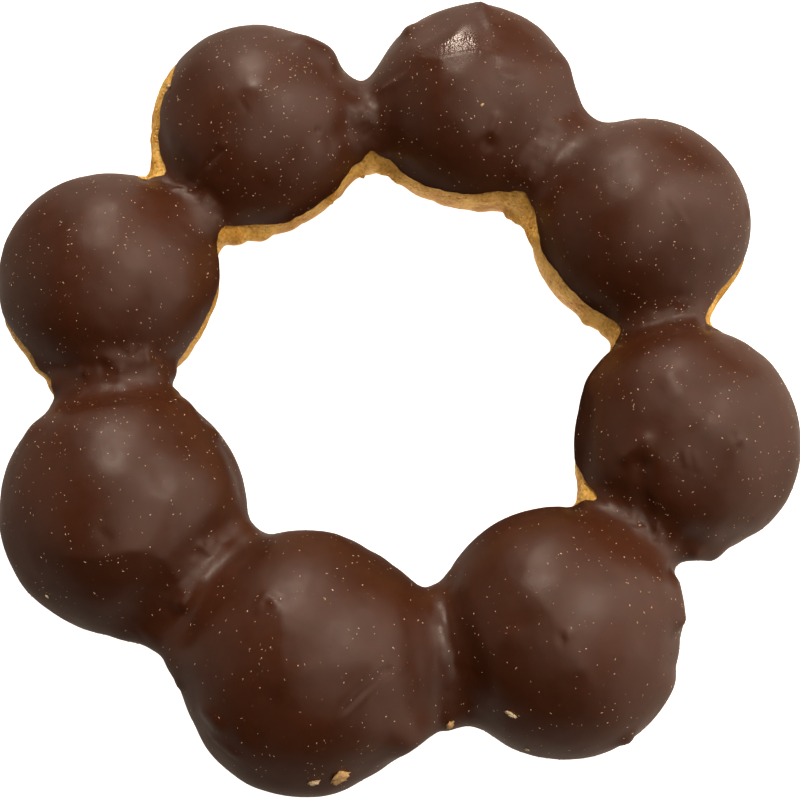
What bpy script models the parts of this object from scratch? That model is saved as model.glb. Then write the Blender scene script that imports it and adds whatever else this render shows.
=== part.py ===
"""A chocolate-coated ring doughnut: eight round balls of fried dough, grown together side by side in a ring.

The ring is one solid. It starts as a torus, and every vertex of it slides out along its own ray, from the
line through the balls' middles to the skin where balls and necks melt into each other. A floor then cuts the
small flat spots that the doughnut rests on. Lengths are in millimetres until the mesh is written in metres.
"""

import math
from dataclasses import dataclass

import bmesh
import bpy
from mathutils import Vector

MM = 0.001

# The whole ring
HEIGHT_SHARE = 0.86     # a ball's height over its mean width: fried dough settles a little
RESTING_SINK = 0.35     # how far each ball's underside is pressed flat
MELT = 2.4              # how wide the hollow is where two skins meet
NECK_LENGTH = 5.0       # how far a neck reaches along the ring

# The mesh
PLANES_PER_BALL = 16    # bearing planes from the middle of one ball to the next
POINTS_ROUND = 30       # points round each section
CROWDING = 0.4          # how much closer the planes stand at a neck than at a ball's middle
RAY_LENGTH = 21.0       # longer than any way from the middle line to the skin
HALVINGS = 22           # steps of the search along each ray

# The floor that flattens the undersides
FLOOR_SIDE = 140.0
FLOOR_DEPTH = 10.0

COATING_COLOUR = (0.065, 0.025, 0.014, 1.0)
COATING_ROUGHNESS = 0.42


@dataclass(frozen=True)
class Ball:
    """One ball: its place seen from the ring's middle, its widths, and the neck to the next ball."""

    name: str
    bearing: float      # degrees, anticlockwise from +X
    reach: float        # from the ring's middle to the ball's middle
    across: float       # width from the hole outwards
    along: float        # width along the ring
    neck: float         # thickness of the neck to the next ball, clockwise
    neck_outward: float  # how far that neck stands away from the hole, off the line between the middles

    @property
    def height(self) -> float:
        return HEIGHT_SHARE * (self.across + self.along) / 2

    @property
    def middle(self) -> Vector:
        turn = math.radians(self.bearing)
        return Vector((self.reach * math.cos(turn), self.reach * math.sin(turn), self.height / 2 - RESTING_SINK))


# Clockwise from the ball at the upper left, seen from above
BALLS = (
    Ball("upper_left", 118.7, 37.0, 27.7, 28.1, 11.5, -1.1),
    Ball("top", 73.9, 37.1, 27.5, 27.7, 17.4, -0.3),
    Ball("upper_right", 31.2, 36.9, 28.4, 27.8, 12.4, -0.2),
    Ball("right", 345.2, 37.3, 28.0, 29.6, 14.2, 0.2),
    Ball("lower_right", 300.6, 38.8, 30.1, 30.1, 17.2, 1.4),
    Ball("bottom", 254.4, 38.5, 31.1, 31.8, 19.4, 0.8),
    Ball("lower_left", 209.3, 37.9, 29.7, 31.1, 15.6, 0.1),
    Ball("left", 162.6, 38.2, 27.7, 28.4, 13.3, -0.8),
)


@dataclass(frozen=True)
class Lump:
    """An ellipsoid whose first axis is level and points away from the ring's middle."""

    middle: Vector
    radii: Vector
    turn: float

    def distance(self, point: Vector) -> float:
        """About how far a point is outside the ellipsoid: negative inside."""
        offset = point - self.middle
        cos, sin = math.cos(self.turn), math.sin(self.turn)
        local = (offset.x * cos + offset.y * sin, offset.y * cos - offset.x * sin, offset.z)
        share = math.sqrt(sum((value / radius) ** 2 for value, radius in zip(local, self.radii)))
        slope = math.sqrt(sum((value / radius ** 2) ** 2 for value, radius in zip(local, self.radii)))
        return share * (share - 1) / max(slope, 1e-9)


def ball_lump(ball: Ball) -> Lump:
    radii = Vector((ball.across, ball.along, ball.height)) / 2
    return Lump(ball.middle, radii, math.radians(ball.bearing))


def neck_lump(ball: Ball, following: Ball) -> Lump:
    """The neck between two balls, near the line through their middles, where their skins are equally near."""
    line = following.middle - ball.middle
    share = 0.5 + (ball.along - following.along) / 4 / line.length
    outward = Vector((-line.y, line.x, 0.0)).normalized()
    middle = ball.middle + share * line + ball.neck_outward * outward
    radii = Vector((ball.neck, NECK_LENGTH, ball.neck)) / 2
    return Lump(middle, radii, math.atan2(outward.y, outward.x))


def melted(near: float, far: float) -> float:
    """The smaller of two distances, rounded off where they are within MELT of each other."""
    closeness = max(MELT - abs(near - far), 0.0) / MELT
    return min(near, far) - closeness ** 2 * MELT / 4


def skin_distance(point: Vector, lumps: list[Lump]) -> float:
    distance = lumps[0].distance(point)
    for lump in lumps[1:]:
        distance = melted(distance, lump.distance(point))
    return distance


def plane_bearings() -> list[float]:
    """The bearing of each section plane in radians, anticlockwise, closer together at the necks."""
    ordered = sorted(BALLS, key=lambda ball: ball.bearing)
    bearings = []
    for ball, following in zip(ordered, ordered[1:] + ordered[:1]):
        span = (following.bearing - ball.bearing) % 360
        for step in range(PLANES_PER_BALL):
            share = step / PLANES_PER_BALL
            share += CROWDING * math.sin(math.tau * share) / math.tau
            bearings.append(math.radians(ball.bearing + share * span))
    return bearings


def middle_line(bearing: float) -> tuple[float, float]:
    """Reach and height of the line through the balls' middles at a bearing in radians."""
    ordered = sorted(BALLS, key=lambda ball: ball.bearing)
    degrees = math.degrees(bearing) % 360
    for ball, following in zip(ordered, ordered[1:] + ordered[:1]):
        span = (following.bearing - ball.bearing) % 360
        share = ((degrees - ball.bearing) % 360) / span
        if share <= 1:
            reach = ball.reach + share * (following.reach - ball.reach)
            height = ball.middle.z + share * (following.middle.z - ball.middle.z)
            return reach, height
    return ordered[0].reach, ordered[0].middle.z


def skin_point(bearing: float, section_angle: float, lumps: list[Lump]) -> Vector:
    """The point of the skin on the ray that leaves the middle line in the plane of a bearing."""
    reach, height = middle_line(bearing)
    outward = Vector((math.cos(bearing), math.sin(bearing), 0.0))
    start = outward * reach + Vector((0.0, 0.0, height))
    ray = outward * math.cos(section_angle) + Vector((0.0, 0.0, math.sin(section_angle)))
    inside, outside = 0.0, RAY_LENGTH
    for _ in range(HALVINGS):
        half = (inside + outside) / 2
        if skin_distance(start + half * ray, lumps) < 0:
            inside = half
        else:
            outside = half
    return start + inside * ray


def shape_ring(ring: bpy.types.Object) -> None:
    """Moves every vertex of the torus out to the doughnut's skin, and centres the whole on the origin."""
    followers = BALLS[1:] + BALLS[:1]
    lumps = [ball_lump(ball) for ball in BALLS]
    lumps += [neck_lump(ball, following) for ball, following in zip(BALLS, followers)]
    bearings = plane_bearings()
    for vertex in ring.data.vertices:
        place = vertex.co
        plane = round(math.atan2(place.y, place.x) / math.tau * len(bearings)) % len(bearings)
        section_angle = math.atan2(place.z, math.hypot(place.x, place.y) - 1.0)
        vertex.co = skin_point(bearings[plane], section_angle, lumps)
    corners = [vertex.co for vertex in ring.data.vertices]
    centre_x = (min(corner.x for corner in corners) + max(corner.x for corner in corners)) / 2
    centre_y = (min(corner.y for corner in corners) + max(corner.y for corner in corners)) / 2
    for vertex in ring.data.vertices:
        vertex.co = (vertex.co - Vector((centre_x, centre_y, 0.0))) * MM
    ring.data.update()


def coating_material() -> bpy.types.Material:
    material = bpy.data.materials.new("chocolate_coating")
    material.use_nodes = True
    shader = material.node_tree.nodes["Principled BSDF"]
    shader.inputs["Base Color"].default_value = COATING_COLOUR
    shader.inputs["Roughness"].default_value = COATING_ROUGHNESS
    shader.inputs["Metallic"].default_value = 0.0
    material.diffuse_color = COATING_COLOUR
    return material


def add_floor_cutter(collection: bpy.types.Collection) -> bpy.types.Object:
    """A block whose top is the plane that the doughnut rests on."""
    mesh = bpy.data.meshes.new("floor_cutter")
    shape = bmesh.new()
    bmesh.ops.create_cube(shape, size=1.0)
    bmesh.ops.scale(shape, vec=Vector((FLOOR_SIDE, FLOOR_SIDE, FLOOR_DEPTH)) * MM, verts=shape.verts)
    bmesh.ops.translate(shape, vec=Vector((0.0, 0.0, -FLOOR_DEPTH / 2 * MM)), verts=shape.verts)
    shape.to_mesh(mesh)
    shape.free()
    cutter = bpy.data.objects.new("floor_cutter", mesh)
    cutter.hide_render = True
    cutter.display_type = "WIRE"
    collection.objects.link(cutter)
    return cutter


def add_doughnut(collection: bpy.types.Collection, floor: bpy.types.Object) -> bpy.types.Object:
    bpy.ops.mesh.primitive_torus_add(
        major_segments=PLANES_PER_BALL * len(BALLS),
        minor_segments=POINTS_ROUND,
        major_radius=1.0,
        minor_radius=0.5,
    )
    doughnut = bpy.context.object
    doughnut.name = doughnut.data.name = "doughnut"
    for holder in list(doughnut.users_collection):
        holder.objects.unlink(doughnut)
    collection.objects.link(doughnut)
    shape_ring(doughnut)
    doughnut.data.materials.append(coating_material())
    doughnut.data.shade_smooth()
    resting_cut = doughnut.modifiers.new("resting_flats", "BOOLEAN")
    resting_cut.operation = "DIFFERENCE"
    resting_cut.solver = "EXACT"
    resting_cut.object = floor
    return doughnut


def clear_scene() -> None:
    for thing in list(bpy.data.objects):
        bpy.data.objects.remove(thing, do_unlink=True)


def new_collection(name: str) -> bpy.types.Collection:
    collection = bpy.data.collections.new(name)
    bpy.context.scene.collection.children.link(collection)
    return collection


def main() -> None:
    clear_scene()
    parts = new_collection("coated_ring_doughnut")
    cutters = new_collection("cutters")
    cutters.hide_render = True
    floor = add_floor_cutter(cutters)
    add_doughnut(parts, floor)


if __name__ == "__main__":
    main()
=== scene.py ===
"""The looks of a coated ring doughnut: eight balls of fried dough, grown together side by side in a ring.

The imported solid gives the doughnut's skin. The dough and its chocolate coating are two closed skins drawn
on it, with the lumps, creases and ragged edges that the photograph shows. Pale specks, crumbs and chips
stick to the coating. Lengths are in millimetres, and become metres when a mesh is written. Pixels are places
in the photograph, 800 by 800.
"""

import logging
import math
from dataclasses import dataclass
from enum import Enum
from functools import cache

import bmesh
import bpy
import numpy as np
from mathutils import Matrix, Vector, noise
from mathutils.bvhtree import BVHTree


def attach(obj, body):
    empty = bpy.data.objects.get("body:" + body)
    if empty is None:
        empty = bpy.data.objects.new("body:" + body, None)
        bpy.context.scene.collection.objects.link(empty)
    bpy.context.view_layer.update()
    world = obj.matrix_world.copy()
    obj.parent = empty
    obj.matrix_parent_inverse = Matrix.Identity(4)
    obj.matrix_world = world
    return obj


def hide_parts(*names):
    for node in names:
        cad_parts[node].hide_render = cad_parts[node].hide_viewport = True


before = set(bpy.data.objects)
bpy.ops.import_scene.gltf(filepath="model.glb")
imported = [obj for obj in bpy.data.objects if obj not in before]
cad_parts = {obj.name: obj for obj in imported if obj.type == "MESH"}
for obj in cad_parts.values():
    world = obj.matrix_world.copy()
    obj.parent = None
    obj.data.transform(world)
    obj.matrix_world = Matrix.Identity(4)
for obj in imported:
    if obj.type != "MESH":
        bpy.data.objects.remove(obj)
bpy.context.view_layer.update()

LOG = logging.getLogger("coated_doughnut")
MM = 0.001
TINY = 1e-9
BODY = "root"
NODE = "doughnut"

Pixel = tuple[float, float]
Span = tuple[float, float]
Colour = tuple[float, float, float]
Socket = bpy.types.NodeSocket

BLACK = (0.0, 0.0, 0.0)
WHITE = (1.0, 1.0, 1.0)
WARM = (1.0, 0.83, 0.69)


class Side(Enum):
    """Which side of the ring's middle line: the outer one, or the one that faces the hole."""

    OUTER = 1
    INNER = -1


def unit(rows: np.ndarray) -> np.ndarray:
    """Returns the rows, each as long as 1."""
    return rows / np.maximum(np.linalg.norm(rows, axis=-1, keepdims=True), TINY)


def smooth_step(share: np.ndarray) -> np.ndarray:
    """Returns 0 below 0, 1 above 1, and a soft rise between."""
    share = np.clip(share, 0.0, 1.0)
    return share * share * (3.0 - 2.0 * share)


def rounded(rows: np.ndarray, passes: int) -> np.ndarray:
    """Evens out an array along its first axis, which wraps.

    Args:
        rows: The values, one row for each column of the ring.
        passes: How many times each row is averaged with its neighbours.

    Returns:
        The evened values.
    """
    for _ in range(passes):
        rows = (np.roll(rows, 1, axis=0) + 2.0 * rows + np.roll(rows, -1, axis=0)) / 4.0
    return rows


@dataclass(frozen=True)
class Wave:
    """Soft random unevenness: how wide and how high its lumps are, and which set of them it is."""

    size: float
    height: float
    seed: float


def lumps(points: np.ndarray, waves: tuple[Wave, ...], seed: float = 0.0) -> np.ndarray:
    """Adds up soft random heights.

    Args:
        points: Places in mm, in any shape that ends in 3.
        waves: What is added up.
        seed: A number that is added to each wave's own seed.

    Returns:
        One height for each point.
    """
    total = np.zeros(points.shape[:-1])
    for wave in waves:
        flat = points.reshape(-1, 3) / wave.size + (wave.seed + seed)
        heights = [noise.noise(Vector(place)) for place in flat.tolist()]
        total += wave.height * np.array(heights).reshape(total.shape)
    return total


def new_object(name: str, data: bpy.types.ID) -> bpy.types.Object:
    """Adds an object to the scene.

    Args:
        name: The object's name.
        data: Its mesh, light or camera.

    Returns:
        The object, at the origin.
    """
    added = bpy.data.objects.new(name, data)
    bpy.context.scene.collection.objects.link(added)
    return added


@dataclass(frozen=True)
class PhotoView:
    """The camera, which looks down on the ring from the front, and the pixels that it sees."""

    elevation: float = 74.0
    distance: float = 220.0
    target: tuple[float, float, float] = (0.77, -2.6, 12.0)
    lens: float = 79.2
    sensor: float = 36.0
    pixels: int = 800
    nearest: float = 10.0
    farthest: float = 10000.0

    @property
    def axes(self) -> np.ndarray:
        """The camera's right, up and forward directions, one in each row."""
        turn = math.radians(self.elevation)
        sine, cosine = math.sin(turn), math.cos(turn)
        return np.array(((1.0, 0.0, 0.0), (0.0, sine, cosine), (0.0, cosine, -sine)))

    @property
    def place(self) -> np.ndarray:
        """Where the camera stands, in mm."""
        return np.array(self.target) - self.distance * self.axes[2]

    def sight(self, pixel: Pixel) -> np.ndarray:
        """Finds where the camera looks.

        Args:
            pixel: A place in the photograph.

        Returns:
            The direction in which the camera sees it.
        """
        pixels_deep = self.pixels * self.lens / self.sensor
        across = (pixel[0] - self.pixels / 2) / pixels_deep
        up = (self.pixels / 2 - pixel[1]) / pixels_deep
        return unit(np.array((across, up, 1.0)) @ self.axes)

    def add_camera(self) -> None:
        """Adds the camera and makes it the scene's."""
        data = bpy.data.cameras.new("photo_camera")
        data.lens = self.lens
        data.sensor_width = self.sensor
        data.clip_start = self.nearest * MM
        data.clip_end = self.farthest * MM
        camera = new_object("photo_camera", data)
        right, up, forward = (Vector(axis) for axis in self.axes)
        turned = Matrix((right, up, -forward)).transposed().to_4x4()
        camera.matrix_world = Matrix.Translation(Vector(self.place) * MM) @ turned
        bpy.context.scene.camera = camera


class Profile(Enum):
    """How the height of a mark changes with the distance from its line.

    A swell is highest on its line, and a crest too, with a sharp top. A ledge rises on the left of its line,
    seen along it, and dies out. A facet is pressed flat to a depth, and its width is how far round its middle
    it may reach. A wall moves the whole height of a side that the camera looks along.
    """

    SWELL = "swell"
    LEDGE = "ledge"
    CREST = "crest"
    FACET = "facet"
    WALL = "wall"


@dataclass(frozen=True)
class Mark:
    """A bump, crease, flap or flattened place, along a line of the photograph's pixels."""

    name: str
    line: tuple[Pixel, ...]
    width: float
    height: float
    profile: Profile = Profile.SWELL


@dataclass(frozen=True)
class Valley:
    """The hollow between two balls.

    It reaches this far up each ball, and on top it is this much deeper than the solid's. Its bottom is round
    at a notch of 0, and a sharp crease at 1.
    """

    name: str
    reach: float
    deepened: float
    notch: float


# Anticlockwise, from the right
VALLEYS = (
    Valley("upper right to right", 4.2, 1.7, 0.8),
    Valley("top to upper right", 5.0, 0.6, 0.3),
    Valley("upper left to top", 4.8, 0.5, 0.2),
    Valley("left to upper left", 4.6, 2.0, 0.7),
    Valley("lower left to left", 4.6, 1.9, 1.0),
    Valley("bottom to lower left", 4.6, 1.0, 0.3),
    Valley("lower right to bottom", 4.6, 1.4, 0.6),
    Valley("right to lower right", 4.4, 1.7, 1.0),
)


@dataclass
class Skin:
    """The solid's outer skin, as points by column round the ring and by angle round each section.

    A section's angles run from straight down over the outer side, the top and the inner side, back down.
    """

    node: bpy.types.Object
    columns: int = 720
    angles: int = 360
    survey_columns: int = 180
    survey_angles: int = 24
    survey_rounds: int = 3
    far_out: float = 90.0
    merged_within: float = 0.001
    rounding: float = 0.5
    passes: int = 4
    girth_passes: int = 6
    waist_apart: int = 30
    facing_power: float = 1.5
    pucker_reach: float = 1.7
    sight_reach: float = 0.35
    sight_slope: float = 0.25
    sight_trust: float = 0.8

    def __post_init__(self) -> None:
        """Reads the solid, finds the line through its middle, and samples the skin."""
        self._read_solid()
        self._find_middle_line()
        self._space_columns()
        self.points = self._sample(self.bearings, self.angles)
        self._soften_valleys()
        self.points = rounded(self.points, self.passes)
        self.points = np.swapaxes(rounded(np.swapaxes(self.points, 0, 1), self.passes), 0, 1)
        self.refresh()

    def _read_solid(self) -> None:
        """Copies the solid's mesh, merged, and keeps its corners, faces and normals."""
        shape = bmesh.new()
        shape.from_mesh(self.node.data)
        bmesh.ops.remove_doubles(shape, verts=shape.verts, dist=self.merged_within * MM)
        shape.normal_update()
        self.corners = np.array([corner.co for corner in shape.verts]) / MM
        self.corner_normals = np.array([corner.normal for corner in shape.verts])
        self.faces = np.array([[corner.index for corner in face.verts] for face in shape.faces])
        shape.free()
        self.tree = BVHTree.FromPolygons(self.corners.tolist(), self.faces.tolist())

    def _cast(self, starts: np.ndarray, ways: np.ndarray) -> tuple[np.ndarray, np.ndarray]:
        """Casts rays at the solid.

        Args:
            starts: Where the rays start, one in each row.
            ways: Their directions.

        Returns:
            The places where they hit, and the number of the face hit, or -1.
        """
        hits = [self.tree.ray_cast(start, way) for start, way in zip(starts.tolist(), ways.tolist())]
        places = np.array([tuple(hit[0]) if hit[0] else (math.nan,) * 3 for hit in hits])
        return places, np.array([-1 if hit[2] is None else hit[2] for hit in hits])

    def _find_middle_line(self) -> None:
        """Finds the ring's middle, and the reach and height of the line through its sections."""
        turns = np.radians(np.arange(self.survey_columns) * 360.0 / self.survey_columns)
        outward = np.stack((np.cos(turns), np.sin(turns), np.zeros_like(turns)), axis=-1)
        self.middle = np.zeros(3)
        height = float(self.corners[:, 2].mean())
        for _ in range(self.survey_rounds):
            level = self.middle + (0.0, 0.0, height)
            outer, _ = self._cast(level + outward * self.far_out, -outward)
            inner, _ = self._cast(np.broadcast_to(level, outward.shape), outward)
            centres = (outer + inner) / 2.0
            self.middle[:2] = centres[:, :2].mean(axis=0)
        reach = np.linalg.norm(centres[:, :2] - self.middle[:2], axis=1)
        self.survey_bearings = turns
        self.survey_reach = rounded(reach, self.girth_passes)
        self.middle_height = height

    def _section_starts(self, bearings: np.ndarray) -> tuple[np.ndarray, np.ndarray]:
        """Finds the middles of sections.

        Args:
            bearings: The sections' bearings in radians.

        Returns:
            Each section's middle point and its direction away from the hole.
        """
        reach = np.interp(bearings, self.survey_bearings, self.survey_reach, period=math.tau)
        outward = np.stack((np.cos(bearings), np.sin(bearings), np.zeros_like(bearings)), axis=-1)
        return self.middle + reach[:, None] * outward + (0.0, 0.0, self.middle_height), outward

    def _sample(self, bearings: np.ndarray, angles: int) -> np.ndarray:
        """Casts rays outwards from the middle line, and rounds off the solid's flat faces.

        Args:
            bearings: The columns' bearings in radians.
            angles: How many rays leave each section's middle.

        Returns:
            Points by column and angle.
        """
        starts, outward = self._section_starts(bearings)
        turns = np.radians(np.arange(angles) * 360.0 / angles - 90.0)[None, :, None]
        ways = np.cos(turns) * outward[:, None, :] + np.sin(turns) * (0.0, 0.0, 1.0)
        starts = np.broadcast_to(starts[:, None, :], ways.shape)
        places, hit = self._cast(starts.reshape(-1, 3), ways.reshape(-1, 3))
        corners, normals = self.corners[self.faces[hit]], self.corner_normals[self.faces[hit]]
        side, other = corners[:, 1] - corners[:, 0], corners[:, 2] - corners[:, 0]
        area = np.cross(side, other)
        size = (area * area).sum(axis=1)
        second = (np.cross(places - corners[:, 0], other) * area).sum(axis=1) / size
        third = (np.cross(side, places - corners[:, 0]) * area).sum(axis=1) / size
        shares = np.stack((1.0 - second - third, second, third), axis=-1)
        rise = ((corners - places[:, None, :]) * normals).sum(axis=-1)
        places += self.rounding * ((shares * rise)[..., None] * normals).sum(axis=1)
        return places.reshape(len(bearings), angles, 3)

    def _space_columns(self) -> None:
        """Chooses the columns' bearings so that they stand equally far apart on the skin."""
        survey = self._sample(self.survey_bearings, self.survey_angles)
        steps = np.linalg.norm(np.roll(survey, -1, axis=0) - survey, axis=-1).mean(axis=1)
        travelled = np.concatenate(((0.0,), np.cumsum(rounded(steps, 1))))
        self.spacing = travelled[-1] / self.columns
        wanted = np.arange(self.columns) * self.spacing
        self.bearings = np.interp(wanted, travelled, np.append(self.survey_bearings, math.tau))

    def _section_steps(self) -> np.ndarray:
        """Returns the ways from each point to the next one round its section."""
        return np.linalg.norm(np.roll(self.points, -1, axis=1) - self.points, axis=-1)

    def _soften_valleys(self) -> None:
        """Draws the skin from ball to ball as one soft valley, through the waist of the neck between."""
        girth = rounded(self._section_steps().sum(axis=1), self.girth_passes)
        window = np.arange(-self.waist_apart, self.waist_apart + 1)
        waists = [c for c in range(self.columns) if girth[c] <= girth[(c + window) % self.columns].min()]
        height = -np.cos(np.arange(self.angles) * math.tau / self.angles)
        facing_up = np.maximum(height, 0.0) ** self.facing_power
        self.nearness = np.zeros(self.columns)
        for waist, valley in zip(waists, VALLEYS):
            self.points[waist, :, 2] -= valley.deepened * facing_up
            half = self.columns // 2
            away = (np.arange(self.columns) - waist + half) % self.columns - half
            self.nearness += np.exp(-((away * self.spacing / self.pucker_reach) ** 2))
            self._draw_valley(waist, valley)

    def _draw_valley(self, waist: int, valley: Valley) -> None:
        """Draws cubic curves from the tops of a valley's two slopes down to its bottom.

        Args:
            waist: The column where the neck is thinnest.
            valley: The valley.
        """
        span = round(valley.reach / self.spacing)
        share = (np.arange(1, span) / span)[:, None, None]
        level = self.points[(waist + span) % self.columns] - self.points[(waist - span) % self.columns]
        bottom = self.points[waist]
        for side in (-1, 1):
            far = (waist + side * span) % self.columns
            top, before, after = (self.points[(far + step) % self.columns] for step in (0, -side, side))
            fall = (before - after) * span / 2
            landing = valley.notch * (bottom - top) - side * level / 2
            rows = (
                (2 * share ** 3 - 3 * share ** 2 + 1) * top + (share ** 3 - 2 * share ** 2 + share) * fall
                + (3 * share ** 2 - 2 * share ** 3) * bottom + (share ** 3 - share ** 2) * landing
            )
            self.points[(far - side * np.arange(1, span)) % self.columns] = rows

    def refresh(self) -> None:
        """Works out the normals and the ways along each section, after the points have moved."""
        self.points[..., 2] = np.maximum(self.points[..., 2], 0.0)
        along = np.roll(self.points, -1, axis=0) - np.roll(self.points, 1, axis=0)
        round_section = np.roll(self.points, -1, axis=1) - np.roll(self.points, 1, axis=1)
        self.normals = unit(np.cross(along, round_section))
        steps = self._section_steps()
        twice = np.concatenate((steps, steps), axis=1)
        self.travelled = np.concatenate((np.zeros((self.columns, 1)), np.cumsum(twice, axis=1)), axis=1)

    def take(self, angles: np.ndarray) -> tuple[np.ndarray, np.ndarray]:
        """Reads the skin between its samples.

        Args:
            angles: Steps of the section's angle, by column and row.

        Returns:
            The points and the normals there.
        """
        low = np.floor(angles).astype(int)
        share = (angles - low)[..., None]
        column = np.arange(self.columns)[:, None]
        near, far = low % self.angles, (low + 1) % self.angles
        points = self.points[column, near] * (1.0 - share) + self.points[column, far] * share
        normals = self.normals[column, near] * (1.0 - share) + self.normals[column, far] * share
        return points, unit(normals)

    def sunk(self, angles: np.ndarray, depth: float) -> np.ndarray:
        """Returns the points at these angles, sunk under the skin by a depth in mm."""
        places, normals = self.take(angles)
        return places - depth * normals

    def shift(self, angles: np.ndarray, distance: np.ndarray) -> np.ndarray:
        """Moves angles along the skin.

        Args:
            angles: One angle for each column.
            distance: How far to move it, in mm: one number, or one for each column.

        Returns:
            The moved angles.
        """
        steps = np.arange(self.travelled.shape[1])
        moved = []
        for travelled, angle, way in zip(self.travelled, angles, np.broadcast_to(distance, angles.shape)):
            moved.append(np.interp(np.interp(angle, steps, travelled) + way, travelled, steps))
        return np.array(moved)

    def spread(self, first: np.ndarray, last: np.ndarray, rows: int) -> np.ndarray:
        """Spaces rows evenly along the skin.

        Args:
            first: Each column's first angle.
            last: Each column's last angle, which is more.
            rows: How many rows, the first and the last among them.

        Returns:
            Angles by column and row.
        """
        steps = np.arange(self.travelled.shape[1])
        spaced = []
        for travelled, start, end in zip(self.travelled, first, last):
            ways = np.interp((start, end), steps, travelled)
            spaced.append(np.interp(np.linspace(ways[0], ways[1], rows), travelled, steps))
        return np.array(spaced)

    def under(self, view: PhotoView, pixel: Pixel) -> tuple[np.ndarray, np.ndarray]:
        """Finds the skin that the camera sees at a pixel, or the nearest skin to it.

        Args:
            view: The camera.
            pixel: Where it looks.

        Returns:
            The place and the normal there.
        """
        sight = view.sight(pixel)
        offsets = (self.points - view.place).reshape(-1, 3)
        depth = offsets @ sight
        aside = np.linalg.norm(offsets - depth[:, None] * sight, axis=1)
        close = np.flatnonzero(aside < aside.min() + self.sight_reach)
        chosen = close[np.argmin(depth[close] + aside[close])]
        place, normal = self.points.reshape(-1, 3)[chosen], self.normals.reshape(-1, 3)[chosen]
        slope = float(normal @ sight)
        if abs(slope) > self.sight_slope:
            exact = view.place + sight * float((place - view.place) @ normal) / slope
            if np.linalg.norm(exact - place) < self.sight_trust:
                return exact, normal
        return place, normal

    def bearing(self, place: np.ndarray) -> float:
        """Returns the bearing of a place, in radians from 0 up to a full turn."""
        return math.atan2(place[1] - self.middle[1], place[0] - self.middle[0]) % math.tau


@dataclass(frozen=True)
class Relief:
    """Heights of marks over the skin, and how far their sharp lines are rounded off."""

    skin: Skin
    view: PhotoView
    crest_round: float = 0.3
    facet_round: float = 0.12
    ledge_share: float = 0.35

    @staticmethod
    def _foot(points: np.ndarray, line: np.ndarray, normal: np.ndarray) -> tuple[np.ndarray, np.ndarray]:
        """Finds how far points are from a line.

        Args:
            points: The points, one in each row.
            line: The line's corners.
            normal: The skin's normal near the line.

        Returns:
            The distances, and the same with a sign: more than 0 on the line's left.
        """
        nearest = np.linalg.norm(points - line[0], axis=1)
        signed = nearest.copy()
        for start, end in zip(line, line[1:]):
            way = end - start
            share = np.clip((points - start) @ way / (way @ way), 0.0, 1.0)
            offset = points - start - share[:, None] * way
            distance = np.linalg.norm(offset, axis=1)
            side = np.sign(offset @ np.cross(normal, way))
            closer = distance <= nearest
            nearest = np.where(closer, distance, nearest)
            signed = np.where(closer, distance * side, signed)
        return nearest, signed

    def heights(self, points: np.ndarray, marks: tuple[Mark, ...]) -> np.ndarray:
        """Adds up the heights of marks.

        Args:
            points: Places on the skin, in any shape that ends in 3.
            marks: The marks.

        Returns:
            How far each point is lifted along its normal, in mm.
        """
        flat = points.reshape(-1, 3)
        lift = np.zeros(len(flat))
        for mark in marks:
            seen = [self.skin.under(self.view, pixel) for pixel in mark.line]
            line = np.array([place for place, _ in seen])
            normal = unit(np.mean([facing for _, facing in seen], axis=0))
            if mark.profile is Profile.FACET:
                middle = line.mean(axis=0)
                proud = ((flat - middle) @ normal + mark.height) / self.facet_round
                pressed = np.logaddexp(0.0, proud) * self.facet_round
                lift -= pressed * smooth_step(2.0 - np.linalg.norm(flat - middle, axis=1) / mark.width)
                continue
            shown = flat
            if mark.profile is Profile.WALL:
                sight = self.view.sight(mark.line[0])
                shown = flat - (flat @ sight)[:, None] * sight
                line = line - (line @ sight)[:, None] * sight
            away, signed = self._foot(shown, line, normal)
            falloff = np.exp(-((away / mark.width) ** 2))
            if mark.profile is Profile.CREST:
                falloff = np.exp((self.crest_round - np.hypot(away, self.crest_round)) / mark.width)
            if mark.profile is Profile.LEDGE:
                falloff *= smooth_step(signed / (self.ledge_share * mark.width) + 0.5)
            lift += mark.height * falloff
        return lift.reshape(points.shape[:-1])


def ring_mesh(name: str, rings: np.ndarray) -> bpy.types.Mesh:
    """Makes a closed ring-shaped skin from a grid of points.

    Args:
        name: The mesh's name.
        rings: Points in mm, by column round the ring and by row round the section. Both wrap.

    Returns:
        The mesh, in metres, smooth shaded, with its faces outwards.
    """
    columns, rows = rings.shape[:2]
    index = np.arange(columns * rows).reshape(columns, rows)
    beside = np.roll(index, -1, axis=0)
    faces = np.stack((index, beside, np.roll(beside, -1, axis=1), np.roll(index, -1, axis=1)), axis=-1)
    mesh = bpy.data.meshes.new(name)
    mesh.from_pydata((rings.reshape(-1, 3) * MM).tolist(), [], faces.reshape(-1, 4).tolist())
    mesh.shade_smooth()
    mesh.update()
    return mesh


def paint(mesh: bpy.types.Mesh, name: str, values: np.ndarray) -> None:
    """Stores one number for each vertex, for a material or a scatter to read."""
    layer = mesh.attributes.new(name, "FLOAT", "POINT")
    layer.data.foreach_set("value", values.reshape(-1).astype(np.float32))


def add_piece(mesh: bpy.types.Mesh, material: bpy.types.Material) -> bpy.types.Object:
    """Shows a finished mesh as a piece of the doughnut.

    Args:
        mesh: The mesh, in place.
        material: Its finish, which a scattered mesh already carries.

    Returns:
        The piece.
    """
    if material.name not in mesh.materials:
        mesh.materials.append(material)
    piece = new_object(mesh.name, mesh)
    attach(piece, BODY)
    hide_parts(NODE)
    LOG.info("%s: %d triangles", mesh.name, sum(len(face.vertices) - 2 for face in mesh.polygons))
    return piece


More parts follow.
